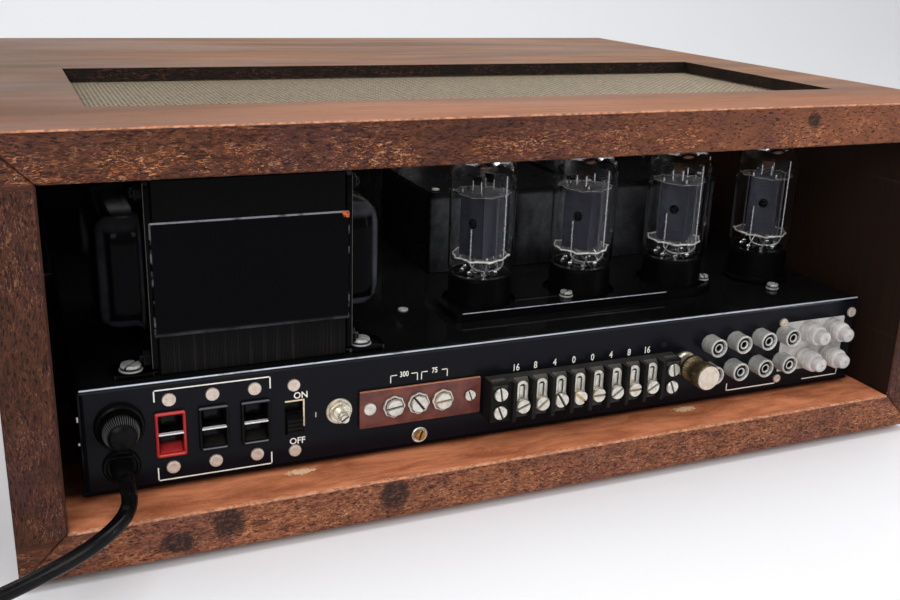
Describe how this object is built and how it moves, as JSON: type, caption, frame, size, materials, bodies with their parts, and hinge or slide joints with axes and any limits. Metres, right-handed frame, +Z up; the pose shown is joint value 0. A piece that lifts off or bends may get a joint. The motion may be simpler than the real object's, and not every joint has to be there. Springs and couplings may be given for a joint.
{
  "type": "stereo receiver",
  "caption": "Valve stereo receiver in a mitred wooden cabinet, open at the back, with mains cord; tuning drive, knobs, switches and fuse cap move.",
  "frame": {"origin": "on the resting surface, under the middle of the object's box without its cord", "axes": "+Z up, the open back faces +Y, the front panel faces -Y"},
  "size_m": [0.5906, 0.4137, 0.1829],
  "materials": {
    "aged_nickel": "aged nickel on brass",
    "anode_grey": "black base with grey electrodes",
    "black_enamel": "gloss black enamel on steel",
    "brass": "turned brass",
    "bulb_glass": "clear blown glass",
    "cap_white": "off-white soft plastic",
    "cord_black": "black flexible cord",
    "dial_clear": "clear dial window",
    "dial_ground": "blue-grey dial paint",
    "flux_band": "satin black over copper",
    "knob_alloy": "spun alloy knob",
    "net_metal": "woven champagne wire net",
    "outlet_red": "red moulded plastic",
    "panel_black": "gloss black panel",
    "phenolic_black": "moulded black phenolic",
    "phenolic_brown": "reddish brown phenolic sheet",
    "pointer_red": "red pointer paint",
    "switch_black": "black moulded plastic",
    "tin_plate": "tinned steel",
    "transformer_black": "satin black enamel",
    "tuner_can": "tinned cans",
    "walnut": "walnut veneer, satin, dark stained rear edges"
  },
  "bodies": {
    "receiver": {"antenna_board": "phenolic_brown", "cabinet_bottom": "walnut", "cabinet_side_left": "walnut", "cabinet_side_right": "walnut", "cabinet_top": "walnut", "chassis_bottom_cover": "black_enamel", "chassis_pan": "black_enamel", "coil_tie": "cord_black", "cord_coil": "cord_black", "dial_glass": "dial_clear", "dial_plate": "dial_ground", "front_panel": "panel_black", "fuse_holder": "phenolic_black", "ground_post": "aged_nickel", "jack_board": "tin_plate", "jack_cap_1": "cap_white", "jack_cap_2": "cap_white", "jack_cap_3": "cap_white", "jack_cap_4": "cap_white", "muting_bushing": "tin_plate", "outlet_black_inner": "switch_black", "outlet_black_outer": "switch_black", "outlet_red": "outlet_red", "output_transformer_left": "transformer_black", "output_transformer_right": "transformer_black", "output_tube_1_base": "anode_grey", "output_tube_1_bulb": "bulb_glass", "output_tube_2_base": "anode_grey", "output_tube_2_bulb": "bulb_glass", "output_tube_3_base": "anode_grey", "output_tube_3_bulb": "bulb_glass", "output_tube_4_base": "anode_grey", "output_tube_4_bulb": "bulb_glass", "power_cord": "cord_black", "power_plug": "phenolic_black", "power_transformer_band": "flux_band", "power_transformer_bell_left": "transformer_black", "power_transformer_bell_right": "transformer_black", "power_transformer_core": "transformer_black", "socket_plate": "black_enamel", "speaker_switch_body": "tin_plate", "speaker_terminal_strip": "phenolic_black", "strain_relief": "phenolic_black", "top_grille": "net_metal", "tuner_unit": "tuner_can", "tuning_gang_frame": "tin_plate"},
    "fuse_cap": {"fuse_cap": "phenolic_black"},
    "speaker_switch_lever": {"speaker_switch_lever": "switch_black"},
    "muting_shaft": {"muting_shaft": "tin_plate"},
    "ground_nut": {"ground_nut": "aged_nickel"},
    "volume_knob": {"volume_knob": "knob_alloy"},
    "balance_knob": {"balance_knob": "knob_alloy"},
    "bass_knob": {"bass_knob": "knob_alloy"},
    "treble_knob": {"treble_knob": "knob_alloy"},
    "selector_knob": {"selector_knob": "knob_alloy"},
    "tuning_drive": {"tuning_knob": "knob_alloy", "tuning_shaft": "tin_plate"},
    "dial_pointer": {"dial_pointer": "pointer_red"},
    "tuning_gang_rotor": {"tuning_gang_rotor": "brass"},
    "power_rocker": {"power_rocker": "switch_black"}
  },
  "joints": [
    {"name": "fuse_cap_twist", "type": "hinge", "parent": "receiver", "child": "fuse_cap", "pos_m": [0.1876, 0.1725, 0.0566], "axis": [0, 1, 0], "range_deg": [0, 45]},
    {"name": "speaker_switch_slide", "type": "slide", "parent": "receiver", "child": "speaker_switch_lever", "axis": [0, 0, 1], "range_m": [0, 0.0066]},
    {"name": "muting_turn", "type": "hinge", "parent": "receiver", "child": "muting_shaft", "pos_m": [0.0935, 0.1695, 0.0495], "axis": [0, 1, 0], "range_deg": [-150, 150]},
    {"name": "ground_nut_turn", "type": "hinge", "parent": "receiver", "child": "ground_nut", "pos_m": [-0.091, 0.1755, 0.0493], "axis": [0, 1, 0], "range_deg": [0, 360]},
    {"name": "volume_turn", "type": "hinge", "parent": "receiver", "child": "volume_knob", "pos_m": [-0.096, -0.1685, 0.0536], "axis": [0, -1, 0], "range_deg": [-150, 150]},
    {"name": "balance_turn", "type": "hinge", "parent": "receiver", "child": "balance_knob", "pos_m": [-0.032, -0.1685, 0.0536], "axis": [0, -1, 0], "range_deg": [-150, 150]},
    {"name": "bass_turn", "type": "hinge", "parent": "receiver", "child": "bass_knob", "pos_m": [0.032, -0.1685, 0.0536], "axis": [0, -1, 0], "range_deg": [-150, 150]},
    {"name": "treble_turn", "type": "hinge", "parent": "receiver", "child": "treble_knob", "pos_m": [0.096, -0.1685, 0.0536], "axis": [0, -1, 0], "range_deg": [-150, 150]},
    {"name": "selector_turn", "type": "hinge", "parent": "receiver", "child": "selector_knob", "pos_m": [-0.16, -0.1685, 0.0536], "axis": [0, -1, 0], "range_deg": [-60, 60]},
    {"name": "tuning_turn", "type": "hinge", "parent": "receiver", "child": "tuning_drive", "pos_m": [0.148, -0.1685, 0.1156], "axis": [0, -1, 0], "range_deg": [-720, 720]},
    {"name": "pointer_slide", "type": "slide", "parent": "receiver", "child": "dial_pointer", "axis": [1, 0, 0], "range_m": [-0.06285, 0.06285]},
    {"name": "gang_turn", "type": "hinge", "parent": "receiver", "child": "tuning_gang_rotor", "pos_m": [0.078, -0.0815, 0.1179], "axis": [0, -1, 0], "range_deg": [-90, 90]},
    {"name": "power_rocker_tilt", "type": "hinge", "parent": "receiver", "child": "power_rocker", "pos_m": [0.16, -0.1653, 0.0536], "axis": [1, 0, 0], "range_deg": [-16, 0]}
  ],
  "couplings": [
    {"joint": "pointer_slide", "follows": "tuning_turn", "m_per_rad": -0.005},
    {"joint": "gang_turn", "follows": "tuning_turn", "ratio": 0.125}
  ]
}
